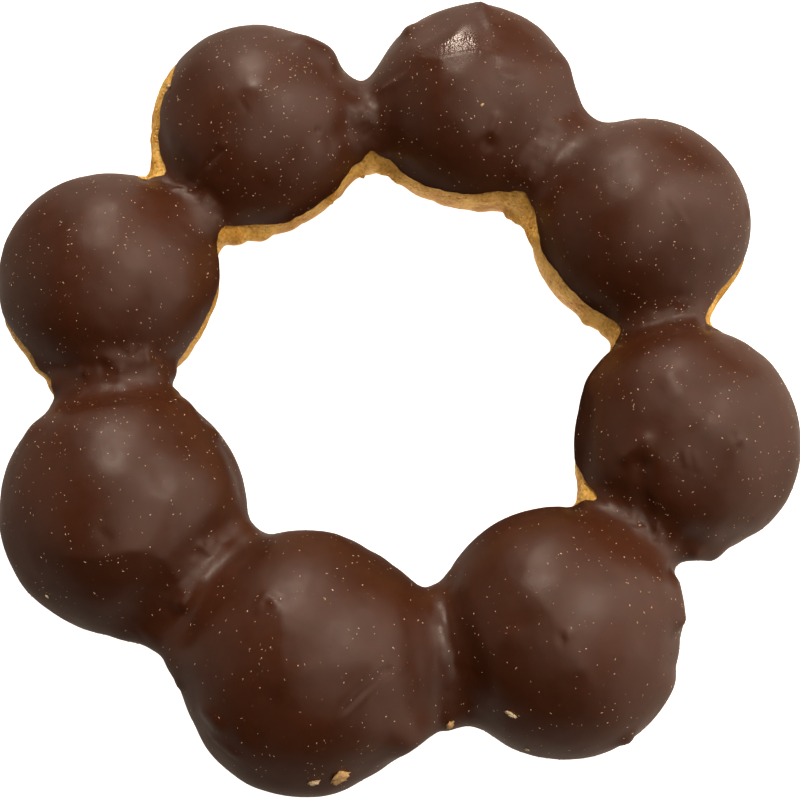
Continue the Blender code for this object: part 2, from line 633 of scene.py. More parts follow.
class Board:
    """The nodes of one tree, with short ways to add and join them."""

    def __init__(self, tree: bpy.types.NodeTree) -> None:
        """Starts with the tree that the nodes are added to."""
        self.tree = tree

    def feed(self, node: bpy.types.Node, inputs: dict[str | int, object]) -> None:
        """Fills a node's inputs.

        Args:
            node: The node.
            inputs: For each input, by name or number, the socket that feeds it or its plain value.
        """
        for key, value in inputs.items():
            if isinstance(value, bpy.types.NodeSocket):
                self.tree.links.new(value, node.inputs[key])
            else:
                node.inputs[key].default_value = value

    def add(self, kind: str, inputs: dict[str | int, object], **settings: object) -> bpy.types.Node:
        """Adds a node.

        Args:
            kind: The node's type.
            inputs: What feeds it, as in feed.
            settings: The node's own properties.

        Returns:
            The node.
        """
        node = self.tree.nodes.new(kind)
        for name, value in settings.items():
            setattr(node, name, value)
        self.feed(node, inputs)
        return node

    def math(self, operation: str, first: object, second: object) -> Socket:
        """Adds a Math node and returns its result."""
        return self.add("ShaderNodeMath", {0: first, 1: second}, operation=operation).outputs[0]

    def spread(self, value: object, span: Span, low: float, high: float) -> Socket:
        """Adds a smooth Map Range node and returns its result."""
        inputs = {"Value": value, "From Min": span[0], "From Max": span[1], "To Min": low, "To Max": high}
        return self.add("ShaderNodeMapRange", inputs, interpolation_type="SMOOTHSTEP").outputs[0]

    def blend(self, share: object, first: object, second: object) -> Socket:
        """Adds a colour Mix node and returns its result."""
        return self.add("ShaderNodeMix", {0: share, 6: first, 7: second}, data_type="RGBA").outputs[2]

    def clouds(self, place: object, scale: object, detail: float) -> Socket:
        """Adds a Noise Texture node and returns its plain result."""
        inputs = {"Vector": place, "Scale": scale, "Detail": detail}
        return self.add("ShaderNodeTexNoise", inputs).outputs[0]

    def random(self, low: object, high: object, seed: object, kind: str = "FLOAT") -> Socket:
        """Adds a Random Value node and returns its result.

        Args:
            low: The least value.
            high: The greatest value.
            seed: Which set of values.
            kind: Numbers, or vectors.

        Returns:
            The random values.
        """
        first = 2 if kind == "FLOAT" else 0
        inputs = {first: low, first + 1: high, "Seed": seed}
        return self.add("FunctionNodeRandomValue", inputs, data_type=kind).outputs[first // 2]


def new_group(
    kind: str, name: str, inputs: dict[str, str], output: tuple[str, str]
) -> tuple[Board, dict[str, Socket], bpy.types.Node]:
    """Starts a node group.

    Args:
        kind: The tree's type.
        name: The group's name.
        inputs: Socket types by name.
        output: Name and socket type of what the group gives.

    Returns:
        The group's board, its input sockets by name, and its output node.
    """
    tree = bpy.data.node_groups.new(name, kind)
    for label, socket in inputs.items():
        tree.interface.new_socket(label, in_out="INPUT", socket_type=socket)
    tree.interface.new_socket(output[0], in_out="OUTPUT", socket_type=output[1])
    board = Board(tree)
    given = board.add("NodeGroupInput", {})
    result = board.add("NodeGroupOutput", {})
    return board, {socket.name: socket for socket in given.outputs if socket.name}, result


# The coarse drift's part of the mottle, and the span of the noise within which its colours meet
MOTTLE_COARSE = 0.6
MOTTLE_MEETING = (0.36, 0.64)

# Where a pit of the grain ends, from its middle outwards
PIT_EDGE = (0.0, 0.35)


@cache
def mottle_group() -> bpy.types.ShaderNodeTree:
    """Builds the effect of two colours that drift into each other, at a coarse and a fine scale.

    Returns:
        The group, which is built once.
    """
    inputs = {"Vector": "NodeSocketVector", "First": "NodeSocketColor", "Second": "NodeSocketColor"}
    inputs |= {"Coarse Scale": "NodeSocketFloat", "Fine Scale": "NodeSocketFloat"}
    board, given, result = new_group("ShaderNodeTree", "mottle", inputs, ("Color", "NodeSocketColor"))
    coarse = board.clouds(given["Vector"], given["Coarse Scale"], detail=2.0)
    fine = board.clouds(given["Vector"], given["Fine Scale"], detail=3.0)
    coarse = board.math("MULTIPLY", coarse, MOTTLE_COARSE)
    fine = board.math("MULTIPLY", fine, 1.0 - MOTTLE_COARSE)
    share = board.spread(board.math("ADD", coarse, fine), MOTTLE_MEETING, 0.0, 1.0)
    board.feed(result, {"Color": board.blend(share, given["First"], given["Second"])})
    return board.tree


@cache
def grain_group() -> bpy.types.ShaderNodeTree:
    """Builds the effect of fine relief: soft waves with small pits between them.

    Returns:
        The group, which is built once.
    """
    inputs = {"Vector": "NodeSocketVector", "Scale": "NodeSocketFloat", "Pits": "NodeSocketFloat"}
    board, given, result = new_group("ShaderNodeTree", "grain", inputs, ("Height", "NodeSocketFloat"))
    waves = board.clouds(given["Vector"], given["Scale"], detail=4.0)
    cells = board.add("ShaderNodeTexVoronoi", {"Vector": given["Vector"], "Scale": given["Scale"]})
    pit = board.spread(cells.outputs["Distance"], PIT_EDGE, -1.0, 0.0)
    board.feed(result, {"Height": board.math("ADD", waves, board.math("MULTIPLY", pit, given["Pits"]))})
    return board.tree


def opaque(colour: Colour) -> tuple[float, float, float, float]:
    """Returns a colour with its alpha."""
    return (*colour, 1.0)


class MaterialBoard(Board):
    """The nodes of a new material, with its Principled shader and its Object coordinates."""

    def __init__(self, name: str) -> None:
        """Starts the material.

        Args:
            name: The material's name.
        """
        self.material = bpy.data.materials.new(name)
        self.material.use_nodes = True
        super().__init__(self.material.node_tree)
        self.shader = self.tree.nodes["Principled BSDF"]
        self.place = self.add("ShaderNodeTexCoord", {}).outputs["Object"]

    def attribute(self, name: str) -> Socket:
        """Returns the numbers that a mesh carries under a name."""
        return self.add("ShaderNodeAttribute", {}, attribute_name=name).outputs["Fac"]

    def bump(self, height: Socket, depth: float, **more: Socket) -> Socket:
        """Adds a Bump node of a depth in mm, with more inputs by name, and returns its normal."""
        inputs = {"Height": height, "Strength": 1.0, "Distance": depth * MM} | more
        return self.add("ShaderNodeBump", inputs).outputs["Normal"]

    def mottled(self, first: Colour, second: Colour, scales: Span) -> Socket:
        """Places the mottle.

        Args:
            first: One colour.
            second: The other colour.
            scales: The coarse scale and the fine one.

        Returns:
            The mixed colour.
        """
        inputs = {"Vector": self.place, "First": opaque(first), "Second": opaque(second)}
        inputs |= {"Coarse Scale": scales[0], "Fine Scale": scales[1]}
        return self.add("ShaderNodeGroup", inputs, node_tree=mottle_group()).outputs["Color"]

    def grained(self, scale: float, pits: float, depth: float) -> Socket:
        """Places the grain.

        Args:
            scale: How fine it is.
            pits: How deep its pits are beside its waves.
            depth: The waves' depth in mm.

        Returns:
            The roughened normal.
        """
        inputs = {"Vector": self.place, "Scale": scale, "Pits": pits}
        grain = self.add("ShaderNodeGroup", inputs, node_tree=grain_group())
        return self.bump(grain.outputs["Height"], depth)


@dataclass(frozen=True)
class ChocolateFinish:
    """Dark milk chocolate coating: a soft broad sheen, with glossier and finely wrinkled places."""

    deep: Colour = (0.071, 0.0182, 0.0044)
    warm: Colour = (0.087, 0.0220, 0.0054)
    scales: Span = (110.0, 700.0)
    dust: Colour = (0.26, 0.13, 0.07)
    dust_scale: float = 900.0
    dust_free: float = 0.72
    dust_edge: Span = (0.05, 0.16)
    dust_share: float = 0.45
    roughness: float = 0.40
    glossy_roughness: float = 0.13
    patch_scale: float = 260.0
    patch_edge: Span = (0.3, 0.7)
    patch_change: float = 0.05
    grain_scale: float = 1500.0
    grain_pits: float = 0.3
    grain_depth: float = 0.010
    wrinkle_scale: tuple[float, float, float] = (3000.0, 2200.0, 2200.0)
    wrinkle_depth: float = 0.045
    refraction: float = 1.55

    def material(self) -> bpy.types.Material:
        """Builds the coating's material.

        Returns:
            The material.
        """
        board = MaterialBoard("chocolate_coating")
        dots = board.add("ShaderNodeTexVoronoi", {"Vector": board.place, "Scale": self.dust_scale})
        lot = board.add("ShaderNodeSeparateColor", {0: dots.outputs["Color"]}).outputs[0]
        chosen = board.math("GREATER_THAN", lot, self.dust_free)
        dot = board.spread(dots.outputs["Distance"], self.dust_edge, self.dust_share, 0.0)
        mottled = board.mottled(self.deep, self.warm, self.scales)
        colour = board.blend(board.math("MULTIPLY", dot, chosen), mottled, opaque(self.dust))

        low, high = self.roughness - self.patch_change, self.roughness + self.patch_change
        clouds = board.clouds(board.place, self.patch_scale, detail=3.0)
        patches = board.spread(clouds, self.patch_edge, low, high)
        smoother = board.math("MULTIPLY", board.attribute("gloss"), self.roughness - self.glossy_roughness)

        inputs = {"Vector": board.place, "Scale": self.wrinkle_scale}
        ripple = board.clouds(board.add("ShaderNodeMapping", inputs).outputs[0], scale=1.0, detail=1.0)
        height = board.math("MULTIPLY", ripple, board.attribute("wrinkle"))
        grained = board.grained(self.grain_scale, self.grain_pits, self.grain_depth)
        board.feed(board.shader, {
            "Base Color": colour,
            "Roughness": board.math("SUBTRACT", patches, smoother),
            "Normal": board.bump(height, self.wrinkle_depth, Normal=grained),
            "IOR": self.refraction,
        })
        return board.material


@dataclass(frozen=True)
class DoughFinish:
    """Golden fried dough: finely pored, paler round the sides and browner underneath.

    It is browned below the first height, in metres, and golden above the second.
    """

    golden: Colour = (0.60, 0.30, 0.036)
    pale: Colour = (0.96, 0.63, 0.16)
    scales: Span = (330.0, 2600.0)
    browned: Colour = (0.42, 0.19, 0.05)
    browned_to_golden: Span = (3.5 * MM, 9.0 * MM)
    drift_scale: float = 160.0
    drift_height: float = 4.0 * MM
    roughness: float = 0.72
    pore_scale: float = 1300.0
    pore_pits: float = 0.8
    pore_depth: float = 0.22

    def material(self) -> bpy.types.Material:
        """Builds the dough's material.

        Returns:
            The material.
        """
        board = MaterialBoard("fried_dough")
        height = board.add("ShaderNodeSeparateXYZ", {0: board.place}).outputs["Z"]
        drift = board.clouds(board.place, self.drift_scale, detail=3.0)
        drift = board.math("MULTIPLY", drift, self.drift_height)
        share = board.spread(board.math("ADD", height, drift), self.browned_to_golden, 1.0, 0.0)
        colour = board.mottled(self.golden, self.pale, self.scales)
        board.feed(board.shader, {
            "Base Color": board.blend(share, colour, opaque(self.browned)),
            "Roughness": self.roughness,
            "Normal": board.grained(self.pore_scale, self.pore_pits, self.pore_depth),
        })
        return board.material


@dataclass(frozen=True)
class CrumbFinish:
    """Specks, crumbs and chips: duller or brighter from one grain to the next."""

    name: str
    dull: Colour
    bright: Colour
    roughness: float = 0.6
    grain_scale: float = 2500.0
    grain_pits: float = 0.4
    grain_depth: float = 0.05

    def material(self) -> bpy.types.Material:
        """Builds the grains' material.

        Returns:
            The material.
        """
        board = MaterialBoard(self.name)
        board.feed(board.shader, {
            "Base Color": board.blend(board.attribute("shade"), opaque(self.dull), opaque(self.bright)),
            "Roughness": self.roughness,
            "Normal": board.grained(self.grain_scale, self.grain_pits, self.grain_depth),
        })
        return board.material


# Dents and bumps of the whole doughnut, dough and coating together
BODY_MARKS = (
    Mark("shoulder of the upper left ball", ((308, 43), (324, 51)), 2.4, 1.1),
    Mark("hollow beside the shoulder", ((348, 69), (357, 79)), 1.8, -0.4, Profile.WALL),
    Mark("left side of the upper left ball", ((151, 143), (151, 160)), 1.4, 0.8),
    Mark(
        "underside of the upper left ball",
        ((304, 226), (318, 219), (330, 209)),
        1.3, -0.45, Profile.WALL,
    ),
    Mark("peak of the top ball", ((477, 2), (482, 8)), 2.2, 0.8, Profile.CREST),
    Mark("corner of the top ball", ((409, 27),), 1.4, 0.65),
    Mark("pressed top of the top ball", ((430, 20), (440, 26)), 3.2, 0.24, Profile.FACET),
    Mark("right shoulder of the top ball", ((520, 14), (540, 28)), 3.0, 0.2),
    Mark("right flank of the top ball", ((568, 70), (578, 94)), 2.4, 0.85),
    Mark("back of the right ball", ((716, 323), (734, 333), (756, 349)), 1.8, -0.3, Profile.WALL),
    Mark("left shoulder of the right ball", ((604, 350), (588, 376)), 1.8, 0.5),
    Mark("low lobe of the right ball", ((696, 554), (710, 557)), 1.7, 1.0),
    Mark("notch of the right neck", ((680, 569),), 1.2, -0.65, Profile.WALL),
    Mark("inner notch of the right neck", ((572, 500),), 1.0, -0.55, Profile.WALL),
    Mark("right side of the lower right ball", ((684, 642), (683, 666)), 1.7, -0.7, Profile.WALL),
    Mark("nub at the right of the lower right ball", ((683, 623),), 1.0, 0.5),
    Mark("nub under the lower right ball", ((632, 742),), 1.1, 0.6),
    Mark("filled notch of the bottom neck", ((410, 739), (432, 730), (446, 729)), 2.8, 1.4),
    Mark("right underside of the bottom ball", ((390, 766), (365, 780)), 2.0, -0.35, Profile.WALL),
    Mark("filled notch of the lower left neck", ((128, 642), (148, 649), (164, 661)), 2.8, 1.15),
    Mark("pressed left side of the bottom ball", ((178, 694), (190, 724)), 2.6, -0.55, Profile.WALL),
    Mark("right side of the lower left ball", ((232, 450), (243, 485)), 2.0, -0.35),
    Mark("back of the lower left ball", ((176, 389), (188, 401)), 1.6, 0.7),
    Mark("front of the left ball", ((38, 372), (48, 384)), 1.6, 0.95),
    Mark("left shoulder of the lower left ball", ((42, 400), (24, 424)), 1.8, 0.45),
    Mark("right side of the left ball", ((209, 322), (203, 345)), 1.8, -0.35, Profile.WALL),
    Mark("upper right corner of the left ball", ((202, 204), (210, 220)), 3.2, 0.8),
    Mark("notch of the upper left neck", ((144, 172),), 0.8, -0.6, Profile.WALL),
    Mark("left shoulder of the left ball", ((3, 240), (18, 214), (60, 184)), 3.0, 0.35),
    Mark("left side of the lower left ball", ((4, 530), (22, 590)), 3.0, 0.4),
    Mark("top of the bottom ball", ((278, 532), (330, 533)), 2.4, 0.45),
    Mark("front of the bottom ball", ((250, 788), (320, 796)), 3.0, 0.35),
    Mark("top of the upper left ball", ((205, 40), (262, 24)), 3.0, 0.35),
    Mark("back of the lower right ball", ((682, 580), (683, 612)), 1.6, 0.6),
    Mark("notch of the back right neck", ((711, 322),), 0.8, -0.4, Profile.WALL),
    Mark("notch of the left neck", ((50, 396),), 0.8, -0.3, Profile.WALL),
    Mark("inner side of the left ball", ((219, 262), (218, 278)), 2.0, 0.4),
    Mark("inner notch of the bottom neck", ((427, 584),), 1.0, -0.3, Profile.WALL),
    Mark("inner side of the lower right ball", ((444, 573),), 1.5, 0.4),
    Mark("right side of the right ball", ((797, 458), (793, 500)), 3.0, 0.35),
    Mark("line of the lower left neck", ((240, 538), (207, 582), (184, 616)), 2.8, -1.0),
    Mark("inner side of the bottom ball", ((372, 550), (394, 561)), 1.8, -0.35, Profile.WALL),
    Mark("front of the right ball", ((730, 545), (747, 539)), 1.5, -0.35, Profile.WALL),
    Mark("inner shoulder of the left ball", ((178, 370),), 1.3, 0.55),
    Mark("left front of the left ball", ((22, 354), (30, 366)), 1.5, 0.2),
    Mark("inner side of the right ball", ((574, 412), (573, 452)), 1.8, -0.3, Profile.WALL),
    Mark("crease of the upper left neck", ((190, 185), (210, 190), (220, 204), (223, 226)), 1.0, -0.3),
    Mark("inner notch of the upper left neck", ((224, 246),), 0.9, -0.4, Profile.WALL),
)

BODY_WAVES = (Wave(9.0, 0.22, 3.0),)

# Marks of the coating alone
COATING_MARKS = (
    Mark("nick on the upper left ball", ((241, 101), (247, 111)), 0.3, -0.05),
    Mark("crease on the upper left ball", ((221, 151), (207, 165)), 0.35, -0.16),
    Mark("bump beside the crease", ((219, 142),), 0.6, 0.12),
    Mark("pit on the upper left ball", ((318, 130),), 0.4, -0.22),
    Mark("highest place of the upper left ball", ((252, 87), (262, 89)), 1.3, 0.14),
    Mark("dark hollow of the upper left ball", ((332, 140), (350, 128)), 1.8, -0.3),
    Mark("knot of the upper neck", ((366, 114),), 1.7, 0.75),
    Mark("pleat of the upper neck", ((385, 90), (408, 76)), 0.7, 0.15),
    Mark("fold at the peak of the top ball", ((478, 4), (480, 12), (485, 23)), 1.3, 0.28, Profile.LEDGE),
    Mark(
        "rim of the pressed place",
        ((498, 56), (478, 51), (458, 53), (440, 59), (421, 61)),
        1.6, 0.3, Profile.CREST,
    ),
    Mark("reddish bump on the top ball", ((496, 118), (493, 130)), 0.7, 0.22),
    Mark("dimple on the top ball", ((488, 145),), 0.9, -0.25),
    Mark("soft bump on the top ball", ((503, 75), (515, 78)), 0.8, 0.12),
    Mark("swelling of the top ball", ((440, 130), (470, 135)), 3.5, 0.25),
    Mark("ridge of the upper right neck", ((553, 126), (540, 150), (527, 174)), 1.5, 0.4),
    Mark("streak on the upper right ball", ((672, 200), (684, 222)), 0.45, 0.1),
    Mark("nub at the right of the upper right ball", ((751, 214),), 0.9, 0.3),
    Mark("upper lump on the right ball", ((670, 378), (680, 392)), 1.5, 0.22),
    Mark("left lump on the right ball", ((644, 442), (626, 456)), 1.0, 0.38),
    Mark("right lump on the right ball", ((708, 425), (730, 440)), 2.0, 0.3),
    Mark("first crinkle on the right ball", ((685, 452), (687, 464)), 0.35, 0.12),
    Mark("second crinkle on the right ball", ((695, 455), (698, 467)), 0.35, 0.12),
    Mark("trough on the right ball", ((642, 468), (647, 515)), 1.4, -0.6),
    Mark("edge of the trough", ((655, 458), (657, 527)), 1.4, 0.28, Profile.CREST),
    Mark("reddish bump on the right ball", ((742, 441),), 0.6, 0.25),
    Mark("notch beside the reddish bump", ((734, 437),), 0.5, -0.15),
    Mark("first bump of the right neck", ((609, 505), (620, 514)), 0.7, 0.22),
    Mark("second bump of the right neck", ((633, 519), (641, 529)), 0.7, 0.3),
    Mark("third bump of the right neck", ((657, 526), (657, 538)), 0.6, 0.28),
    Mark(
        "ridge of the lower right ball",
        ((538, 598), (552, 618), (566, 641), (588, 678)),
        2.6, 0.24, Profile.CREST,
    ),
    Mark("bump on the lower right ball", ((568, 634),), 0.5, 0.2),
    Mark("dimple on the lower right ball", ((562, 640),), 0.45, -0.2),
    Mark("left bump on the lower right ball", ((509, 636),), 1.4, 0.16),
    Mark("faint bump on the lower right ball", ((584, 670),), 1.0, 0.12),
    Mark(
        "left edge of the raised place",
        ((267, 597), (284, 614), (281, 648), (285, 688)),
        2.6, 0.24, Profile.CREST,
    ),
    Mark("front edge of the raised place", ((300, 671), (368, 664)), 2.2, 0.28, Profile.CREST),
    Mark("fold on the bottom ball", ((344, 709), (360, 693), (387, 669)), 0.45, -0.2),
    Mark("lip of the fold", ((368, 698), (394, 671), (404, 664)), 0.8, 0.07),
    Mark("curl of the bottom ball", ((258, 608), (266, 597), (275, 602)), 0.55, 0.22),
    Mark(
        "edge at the front of the bottom ball",
        ((253, 736), (258, 718), (271, 698)),
        2.0, -0.3, Profile.CREST,
    ),
    Mark("lower left bump on the bottom ball", ((207, 712), (216, 724)), 1.3, 0.5),
    Mark("flap on the bottom ball", ((212, 742), (232, 755)), 1.0, 0.25, Profile.LEDGE),
    Mark("nub at the left of the bottom ball", ((179, 684),), 0.9, 0.35),
    Mark(
        "brow of the lower left ball",
        ((73, 556), (94, 556), (112, 554), (127, 549), (148, 550), (164, 559), (174, 572), (187, 595)),
        2.8, 0.62, Profile.CREST,
    ),
    Mark("right dimple on the lower left ball", ((159, 466), (163, 484)), 1.2, -0.2),
    Mark("left dimple on the lower left ball", ((109, 450), (112, 457)), 0.5, -0.07),
    Mark("nick on the lower left ball", ((101, 532), (108, 538)), 0.5, -0.12),
    Mark("curl on the lower left ball", ((200, 545), (208, 551), (213, 543)), 0.5, 0.25),
    Mark("nub at the right of the lower left ball", ((217, 431),), 0.9, 0.35),
    Mark("bump of the left neck", ((144, 354), (147, 358)), 0.8, 0.35),
    Mark("curl of the upper left neck", ((178, 190), (194, 190), (199, 185)), 0.5, 0.22),
    Mark("flat of the wrinkled patch", ((461, 47),), 2.4, 0.10, Profile.FACET),
    Mark("end of the brow of the lower left ball", ((182, 603),), 0.9, 0.45),
    Mark("second streak of the lower left neck", ((196, 603), (183, 626)), 0.5, 0.14),
    Mark("left bump of the left neck", ((84, 372),), 0.7, 0.28),
    Mark("middle bump of the left neck", ((121, 370),), 0.8, 0.22),
    Mark("dip of the left neck", ((102, 366),), 0.8, -0.25),
    Mark("low bump of the left neck", ((128, 349),), 0.7, 0.16),
)

# Ragged bits of the dough below the coating
DOUGH_MARKS = (
    Mark("lobe under the upper left ball", ((240, 241), (262, 239)), 1.5, 1.1),
    Mark("hollow under the upper left ball", ((338, 200), (345, 190)), 1.1, -0.35, Profile.WALL),
    Mark("nub under the upper left ball", ((333, 204),), 0.6, 0.6),
    Mark("bit that hangs under the upper neck", ((363, 177),), 0.5, 0.8),
    Mark("bulge under the upper neck", ((382, 173), (395, 181)), 1.1, 0.8),
    Mark("hollow under the top ball", ((430, 205), (466, 210)), 1.4, -0.4, Profile.WALL),
    Mark("nub under the top ball", ((506, 216), (514, 222)), 0.8, 0.9),
    Mark("bulge at the upper right neck", ((520, 227), (525, 240)), 1.1, 0.8),
    Mark("lobe under the upper right ball", ((586, 324), (598, 332)), 1.2, 0.9),
)


@dataclass(frozen=True)
class SeenEdge:
    """A stretch of the coating's edge that the photograph shows."""

    name: str
    pixels: tuple[Pixel, ...]


INNER_EDGES = (
    SeenEdge(
        "upper left ball",
        ((220, 228), (245, 226), (275, 224), (300, 216), (323, 204), (347, 179), (360, 163), (372, 146)),
    ),
    SeenEdge("top ball", ((378, 156), (403, 173), (435, 188), (471, 194), (508, 193), (526, 187))),
    SeenEdge(
        "upper right ball",
        ((530, 203), (541, 249), (558, 273), (576, 294), (592, 308), (609, 319), (626, 327)),
    ),
    SeenEdge("right ball", ((581, 471), (584, 480), (590, 489), (597, 500), (607, 504), (614, 508))),
)

OUTER_EDGES = (
    SeenEdge("upper left ball", ((169, 84), (161, 96), (160, 120), (160, 144), (163, 163), (169, 173))),
    SeenEdge("left ball", ((18, 340), (35, 365), (57, 388))),
    SeenEdge("upper right ball", ((722, 291), (712, 305), (705, 318))),
)


OUTER_SEED = 41.0
INNER_SEED = 43.0


@dataclass(frozen=True)
class DipLine:
    """Where the coating ends: as seen, and elsewhere at the level to which the doughnut was dipped.

    The seen stretches are joined to the rest over a clearance. It and the spacing are in degrees.
    """

    skin: Skin
    view: PhotoView
    level: float = 11.8
    slope: float = 0.1
    highest: float = 14.2
    half_width: float = 12.0
    spacing: float = 5.0
    clearance: float = 3.0
    searched: float = 0.4
    waver: float = 0.35
    waves: tuple[Wave, ...] = (Wave(3.2, 1.0, 0.0), Wave(1.3, 0.6, 7.0), Wave(0.7, 0.5, 13.0))

    def _levels(self, edges: tuple[SeenEdge, ...], side: Side) -> np.ndarray:
        """Works out the edge's height in each column.

        Args:
            edges: The stretches that the photograph shows.
            side: Which edge.

        Returns:
            Heights in mm.
        """
        seen, spans = [], []
        for edge in edges:
            places = [self.skin.under(self.view, pixel)[0] for pixel in edge.pixels]
            bearings = [math.degrees(self.skin.bearing(place)) for place in places]
            spans.append((min(bearings) - self.clearance, max(bearings) + self.clearance))
            seen += [(bearing, place[2]) for bearing, place in zip(bearings, places)]
        radius = float(self.skin.survey_reach.mean()) + side.value * self.half_width
        for bearing in np.arange(0.0, 360.0, self.spacing):
            if not any(low < bearing < high for low, high in spans):
                y = self.skin.middle[1] + radius * math.sin(math.radians(bearing))
                seen.append((bearing, min(self.level + self.slope * y, self.highest)))
        seen.sort()
        known = np.array(seen)
        return np.interp(np.degrees(self.skin.bearings), known[:, 0], known[:, 1], period=360.0)

    def angles(self, edges: tuple[SeenEdge, ...], side: Side, seed: float) -> np.ndarray:
        """Finds the edge's angle in each column.

        Args:
            edges: The stretches that the photograph shows.
            side: Which edge.
            seed: Which set of waves.

        Returns:
            Steps of the section's angle.
        """
        levels = rounded(self._levels(edges, side), 1)
        top = self.skin.angles // 2
        walk = top - np.arange(int(self.skin.angles * self.searched)) * side.value
        heights = self.skin.points[:, walk, 2]
        first = np.argmax(heights < levels[:, None], axis=1)
        column = np.arange(self.skin.columns)
        above, below = heights[column, first - 1], heights[column, first]
        share = np.clip((above - levels) / np.maximum(above - below, TINY), 0.0, 1.0)
        angle = top - side.value * (first - 1 + share)
        places, _ = self.skin.take(angle[:, None])
        wave = lumps(places[:, 0], self.waves, seed)
        return self.skin.shift(rounded(angle, 1), self.waver * wave)


# Where the coating is glossy, wrinkled or more specked: the height is the amount
GLOSSY = (
    Mark("wrinkled patch on the top ball", ((428, 46), (459, 41), (484, 46)), 2.4, 1.0),
    Mark("pressed place of the top ball", ((415, 30), (434, 34)), 1.0, 0.4),
    Mark("highlight of the upper left ball", ((256, 79),), 1.3, 0.25),
    Mark("back right neck", ((660, 309), (680, 304), (700, 309)), 1.0, 0.45),
    Mark("lower left neck", ((236, 540), (204, 582), (182, 618)), 1.2, 0.3),
    Mark("bottom neck", ((434, 600), (437, 620), (446, 660)), 1.0, 0.5),
)
WRINKLED = (
    Mark("wrinkled patch on the top ball", ((426, 50), (459, 44), (486, 47)), 1.9, 1.0),
    Mark("back right neck", ((660, 309), (680, 304), (700, 309)), 0.9, 0.3),
)
SPECKED = (
    Mark("dotted patch on the upper left ball", ((279, 58), (292, 62), (304, 68)), 1.2, 7.0),
    Mark("dots below the dotted patch", ((265, 91), (276, 88)), 0.6, 8.0),
    Mark("dotted back right neck", ((660, 312), (690, 306)), 0.9, 3.0),
    Mark("dots at the front of the left ball", ((60, 350), (150, 352)), 1.4, 0.8),
)


@dataclass
class Coating:
    """The chocolate coating: a closed shell over the top, with a rounded lip along both edges."""

    skin: Skin
    relief: Relief
    outer_edge: np.ndarray
    inner_edge: np.ndarray
    rows: int = 112
    lip_rows: int = 5
    under_rows: int = 8
    lip_reach: float = 0.45
    lip_fade: float = 4.0
    thickness: float = 0.75
    depth_under: float = 1.1
    waves: tuple[Wave, ...] = (Wave(1.6, 0.03, 31.0), Wave(3.5, 0.05, 37.0))
    pucker: float = 0.08
    puckers: tuple[Wave, ...] = (Wave(1.9, 1.0, 53.0), Wave(0.95, 0.7, 59.0))
    speck_base: float = 0.55
    speck_drift: float = 0.9
    speck_lean: float = 0.25
    speck_waves: tuple[Wave, ...] = (Wave(5.0, 1.0, 77.0),)
    front_to_back: Span = (-32.0, 10.0)
    front_share: float = 0.6
    bare_rows: int = 2

    def _lip(self, edge: np.ndarray, side: Side) -> np.ndarray:
        """Rolls the coating's edge over and into the dough.

        Args:
            edge: Each column's angle at the edge.
            side: Which edge.

        Returns:
            Points by column and row, from the edge onwards.
        """
        rows = []
        for row in range(1, self.lip_rows + 1):
            turn = row / self.lip_rows * math.pi / 2
            angle = self.skin.shift(edge, -side.value * self.lip_reach * math.sin(turn))
            rows.append(self.skin.sunk(angle[:, None], self.thickness * (1.0 - math.cos(turn)))[:, 0])
        return np.stack(rows, axis=1)

    def _amount(self, places: np.ndarray, patches: tuple[Mark, ...]) -> np.ndarray:
        """Returns how strong the strongest of several patches is at each place."""
        return np.maximum.reduce([self.relief.heights(places, (patch,)) for patch in patches])

    def _paint(self, mesh: bpy.types.Mesh, places: np.ndarray) -> None:
        """Stores the gloss, the wrinkles and the share of specks on the mesh.

        Args:
            mesh: The coating.
            places: The outer surface's points by column and row.
        """
        share = np.clip(lumps(places, self.speck_waves) + self.speck_lean, 0.0, 1.0)
        share = self.speck_base + self.speck_drift * share + self._amount(places, SPECKED)
        share *= np.interp(places[..., 1], self.front_to_back, (self.front_share, 1.0))
        share[:, :self.bare_rows] = 0.0
        share[:, -self.bare_rows:] = 0.0
        gloss, wrinkles = self._amount(places, GLOSSY), self._amount(places, WRINKLED)
        hidden_rows = self.lip_rows * 2 + self.under_rows
        for name, values in (("gloss", gloss), ("wrinkle", wrinkles), ("speck_share", share)):
            paint(mesh, name, np.pad(values, ((0, 0), (0, hidden_rows))))

    def build(self) -> bpy.types.Object:
        """Builds the shell, and dresses it.

        Returns:
            The piece.
        """
        angles = self.skin.spread(self.outer_edge, self.inner_edge, self.rows)
        places, normals = self.skin.take(angles)
        lift = self.relief.heights(places, COATING_MARKS) + lumps(places, self.waves)
        lift += self.pucker * self.skin.nearness[:, None] * lumps(places, self.puckers)
        row = np.arange(self.rows)
        lift *= smooth_step(np.minimum(row, self.rows - 1 - row) / self.lip_fade)
        top = places + lift[..., None] * normals
        inner_lip = self._lip(self.inner_edge, Side.INNER)
        outer_lip = self._lip(self.outer_edge, Side.OUTER)[:, ::-1]
        under = self.skin.spread(self.outer_edge, self.inner_edge, self.under_rows)[:, ::-1]
        underside = self.skin.sunk(under, self.depth_under)
        rings = np.concatenate((top, inner_lip, underside, outer_lip), axis=1)
        mesh = ring_mesh("chocolate_coating", rings)
        self._paint(mesh, places)
        return add_piece(mesh, ChocolateFinish().material())


